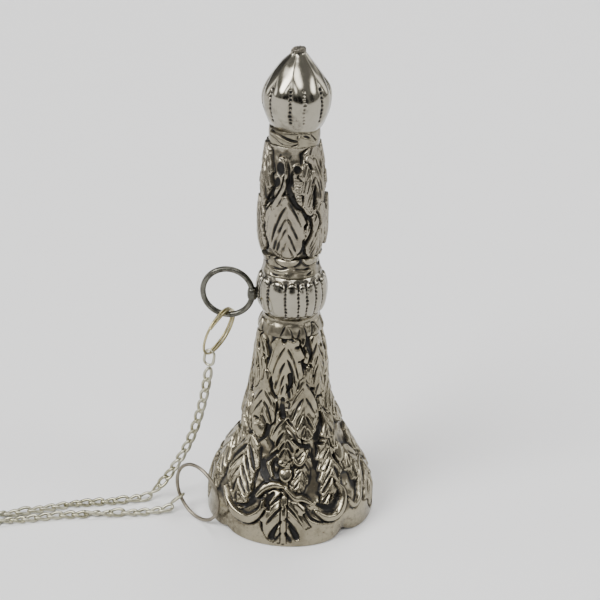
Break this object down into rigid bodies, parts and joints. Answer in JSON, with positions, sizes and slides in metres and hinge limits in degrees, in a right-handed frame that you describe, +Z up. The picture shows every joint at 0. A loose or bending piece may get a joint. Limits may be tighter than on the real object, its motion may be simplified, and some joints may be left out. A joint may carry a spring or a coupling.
{
  "type": "sanctus bell",
  "caption": "Small leaf-relief hand bell with a stacked handle, hanging clapper, side bail ring, split ring and fine chain to a finger ring.",
  "frame": {"origin": "on the bell's axis, at the plane that the mouth rests on", "axes": "+Z up along the bell's axis, -Y the front, -X the side of the bail ring"},
  "size_m": [0.14, 0.05, 0.142],
  "materials": {
    "cast_silver": "antiqued plate: polished high leaves, black in the hollows",
    "plain_silver": "polished plate with soft dents and grey tarnish",
    "knop_silver": "polished plate with black punched dots",
    "steel": "bright drawn steel",
    "bob_steel": "turned steel with a rubbed band",
    "dark_wire": "oxidised gunmetal wire",
    "brass_wire": "pale tarnished brass wire",
    "chain_silver": "plated chain with a yellow-green cast",
    "ring_wire": "dull plated wire"
  },
  "bodies": {
    "bell": {"bell_shell": "cast_silver", "neck_band": "plain_silver", "knop": "knop_silver", "pinch_collar": "plain_silver", "stem": "cast_silver", "finial_collar": "plain_silver", "finial": "knop_silver", "tie_rod": "steel", "crown_washer": "steel", "crown_nut": "steel", "clapper_staple": "steel", "ring_eye": "dark_wire", "chain": "chain_silver", "chain_end_link": "chain_silver"},
    "bail": {"bail_ring": "dark_wire"},
    "split": {"split_ring": "brass_wire", "chain_connector": "chain_silver"},
    "link": {"clapper_link": "steel"},
    "clapper": {"clapper_shank": "steel", "clapper_bob": "bob_steel"},
    "finger": {"finger_ring": "ring_wire"}
  },
  "joints": [
    {"name": "bail_ring_swing", "type": "hinge", "parent": "bell", "child": "bail", "pos_m": [-0.01156, -0.00142, 0.0702], "axis": [0, 0, 1], "range_deg": [-25, 25]},
    {"name": "split_ring_turn", "type": "hinge", "parent": "bail", "child": "split", "pos_m": [-0.02119, -0.00126, 0.05787], "axis": [0.3511, 0.0802, 0.9329], "range_deg": [-12, 20]},
    {"name": "clapper_link_swing", "type": "hinge", "parent": "bell", "child": "link", "pos_m": [0, 0, 0.0476], "axis": [0, 1, 0], "range_deg": [-6, 6]},
    {"name": "clapper_swing", "type": "hinge", "parent": "link", "child": "clapper", "pos_m": [0, 0, 0.04402], "axis": [1, 0, 0], "range_deg": [-26, 26]},
    {"name": "finger_ring_swing", "type": "hinge", "parent": "bell", "child": "finger", "pos_m": [-0.03276, -0.00571, 0.00469], "axis": [0, 0, 1], "range_deg": [-40, 0]}
  ]
}
